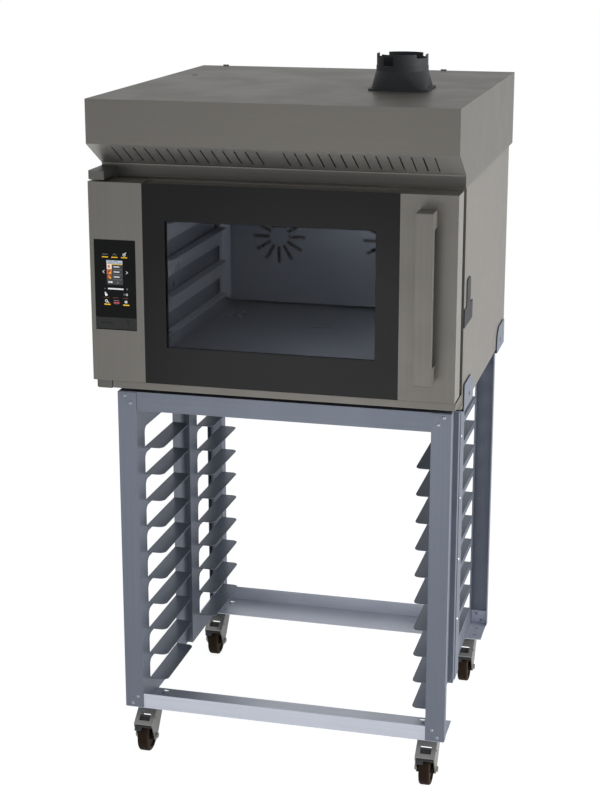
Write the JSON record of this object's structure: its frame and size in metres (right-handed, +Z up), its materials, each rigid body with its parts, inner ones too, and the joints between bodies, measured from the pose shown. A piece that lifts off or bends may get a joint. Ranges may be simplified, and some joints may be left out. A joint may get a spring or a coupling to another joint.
{
  "type": "electric convection oven with stand and steam hood",
  "caption": "Free-standing electric convection oven with a hinged glass door, a slotted steam hood with a flue on top, and an open wheeled stand with tray slides.",
  "frame": {"origin": "on the floor, under the middle of the bounding box", "axes": "+Z up, the door faces -Y, +X to the right as seen from the front"},
  "size_m": [0.807, 0.8896, 1.634],
  "materials": {
    "stand_steel": "satin stainless sheet",
    "cover_steel": "brushed stainless sheet",
    "door_steel": "brushed stainless sheet",
    "fitting_steel": "plain stainless",
    "zinc_steel": "zinc plated steel",
    "grey_cover": "darker grey plate",
    "cavity_steel": "polished stainless cavity",
    "black_glass": "black printed glass",
    "clear_glass": "clear toughened glass",
    "display_glass": "glossy black touch display",
    "dark_plastic": "black moulded plastic",
    "flap_plastic": "dark grey plastic",
    "tyre_rubber": "dark brown-black tread",
    "seal_rubber": "silicone seal",
    "foot_rubber": "rubber foot",
    "wool": "mineral wool",
    "board_laminate": "circuit board",
    "brass_bush": "plain bearing bush",
    "motor_paint": "motor casing",
    "light_cover": "diffusing cover"
  },
  "bodies": {
    "stand_and_oven": {"stand_side_left_front": "stand_steel", "stand_side_left_rear": "stand_steel", "stand_side_right_front": "stand_steel", "stand_side_right_rear": "stand_steel", "stand_top_rails": "stand_steel", "stand_lower_rails": "stand_steel", "oven_retaining_tabs": "stand_steel", "stand_fasteners": "zinc_steel", "caster_plates": "zinc_steel", "oven_feet": "foot_rubber", "body_casing": "cover_steel", "body_base": "cover_steel", "body_rear_panel": "cover_steel", "front_frame": "cavity_steel", "door_gasket": "seal_rubber", "cavity": "cavity_steel", "insulation": "wool", "fan_baffle": "cavity_steel", "rack_left": "cavity_steel", "rack_right": "cavity_steel", "fan_motors": "motor_paint", "heating_elements": "fitting_steel", "drip_gutter": "cover_steel", "latch_cover": "grey_cover", "hinge_brackets": "grey_cover", "power_board": "board_laminate", "exhaust_pipe": "fitting_steel", "rear_fittings": "brass_bush", "hood_casing": "cover_steel", "hood_grilles": "cover_steel", "hood_floor": "cover_steel", "steam_condenser": "fitting_steel", "blower_housing": "motor_paint", "flue_collar": "dark_plastic"},
    "door": {"door_left_housing": "door_steel", "door_right_housing": "door_steel", "door_back_frame": "door_steel", "door_outer_glass": "black_glass", "door_inner_glass": "clear_glass", "door_handle": "door_steel", "control_display": "display_glass", "control_box": "dark_plastic", "door_light_strip": "light_cover", "hinge_bushes": "brass_bush"},
    "service_flap": {"service_flap": "flap_plastic"},
    "fan_left": {"fan_left": "fitting_steel"},
    "fan_right": {"fan_right": "fitting_steel"},
    "blower": {"blower_impeller": "dark_plastic"},
    "fork_front_left": {"caster_fork_front_left": "zinc_steel"},
    "wheel_front_left": {"caster_wheel_front_left": "tyre_rubber"},
    "pedal_front_left": {"caster_pedal_front_left": "dark_plastic"},
    "fork_front_right": {"caster_fork_front_right": "zinc_steel"},
    "wheel_front_right": {"caster_wheel_front_right": "tyre_rubber"},
    "pedal_front_right": {"caster_pedal_front_right": "dark_plastic"},
    "fork_rear_left": {"caster_fork_rear_left": "zinc_steel"},
    "wheel_rear_left": {"caster_wheel_rear_left": "tyre_rubber"},
    "pedal_rear_left": {"caster_pedal_rear_left": "dark_plastic"},
    "fork_rear_right": {"caster_fork_rear_right": "zinc_steel"},
    "wheel_rear_right": {"caster_wheel_rear_right": "tyre_rubber"},
    "pedal_rear_right": {"caster_pedal_rear_right": "dark_plastic"}
  },
  "joints": [
    {"name": "door_hinge", "type": "hinge", "parent": "stand_and_oven", "child": "door", "pos_m": [-0.382, -0.36475, 1.1615], "axis": [0, 0, -1], "range_deg": [0, 110]},
    {"name": "service_flap_hinge", "type": "hinge", "parent": "door", "child": "service_flap", "pos_m": [-0.3432, -0.39125, 1.0615], "axis": [1, 0, 0], "range_deg": [0, 90]},
    {"name": "fan_left_spin", "type": "hinge", "parent": "stand_and_oven", "child": "fan_left", "pos_m": [-0.1392, 0.25265, 1.1625], "axis": [0, 1, 0], "continuous": true},
    {"name": "fan_right_spin", "type": "hinge", "parent": "stand_and_oven", "child": "fan_right", "pos_m": [0.1392, 0.25265, 1.1625], "axis": [0, 1, 0], "continuous": true},
    {"name": "blower_spin", "type": "hinge", "parent": "stand_and_oven", "child": "blower", "pos_m": [0.21, -0.02975, 1.496], "axis": [0, 0, 1], "continuous": true},
    {"name": "swivel_front_left", "type": "hinge", "parent": "stand_and_oven", "child": "fork_front_left", "pos_m": [-0.337, -0.23875, 0.1087], "axis": [0, 0, 1], "continuous": true},
    {"name": "wheel_spin_front_left", "type": "hinge", "parent": "fork_front_left", "child": "wheel_front_left", "pos_m": [-0.337, -0.27825, 0.038], "axis": [1, 0, 0], "continuous": true},
    {"name": "brake_front_left", "type": "hinge", "parent": "fork_front_left", "child": "pedal_front_left", "pos_m": [-0.337, -0.28275, 0.0862], "axis": [1, 0, 0], "range_deg": [0, 7], "stiffness_Nm_per_rad": 0.6, "springref_deg": -2.86},
    {"name": "swivel_front_right", "type": "hinge", "parent": "stand_and_oven", "child": "fork_front_right", "pos_m": [0.337, -0.23875, 0.1087], "axis": [0, 0, 1], "continuous": true},
    {"name": "wheel_spin_front_right", "type": "hinge", "parent": "fork_front_right", "child": "wheel_front_right", "pos_m": [0.337, -0.27825, 0.038], "axis": [1, 0, 0], "continuous": true},
    {"name": "brake_front_right", "type": "hinge", "parent": "fork_front_right", "child": "pedal_front_right", "pos_m": [0.337, -0.28275, 0.0862], "axis": [1, 0, 0], "range_deg": [0, 7], "stiffness_Nm_per_rad": 0.6, "springref_deg": -2.86},
    {"name": "swivel_rear_left", "type": "hinge", "parent": "stand_and_oven", "child": "fork_rear_left", "pos_m": [-0.337, 0.32525, 0.1087], "axis": [0, 0, 1], "continuous": true},
    {"name": "wheel_spin_rear_left", "type": "hinge", "parent": "fork_rear_left", "child": "wheel_rear_left", "pos_m": [-0.337, 0.28575, 0.038], "axis": [1, 0, 0], "continuous": true},
    {"name": "brake_rear_left", "type": "hinge", "parent": "fork_rear_left", "child": "pedal_rear_left", "pos_m": [-0.337, 0.28125, 0.0862], "axis": [1, 0, 0], "range_deg": [0, 7], "stiffness_Nm_per_rad": 0.6, "springref_deg": -2.86},
    {"name": "swivel_rear_right", "type": "hinge", "parent": "stand_and_oven", "child": "fork_rear_right", "pos_m": [0.337, 0.32525, 0.1087], "axis": [0, 0, 1], "continuous": true},
    {"name": "wheel_spin_rear_right", "type": "hinge", "parent": "fork_rear_right", "child": "wheel_rear_right", "pos_m": [0.337, 0.28575, 0.038], "axis": [1, 0, 0], "continuous": true},
    {"name": "brake_rear_right", "type": "hinge", "parent": "fork_rear_right", "child": "pedal_rear_right", "pos_m": [0.337, 0.28125, 0.0862], "axis": [1, 0, 0], "range_deg": [0, 7], "stiffness_Nm_per_rad": 0.6, "springref_deg": -2.86}
  ]
}
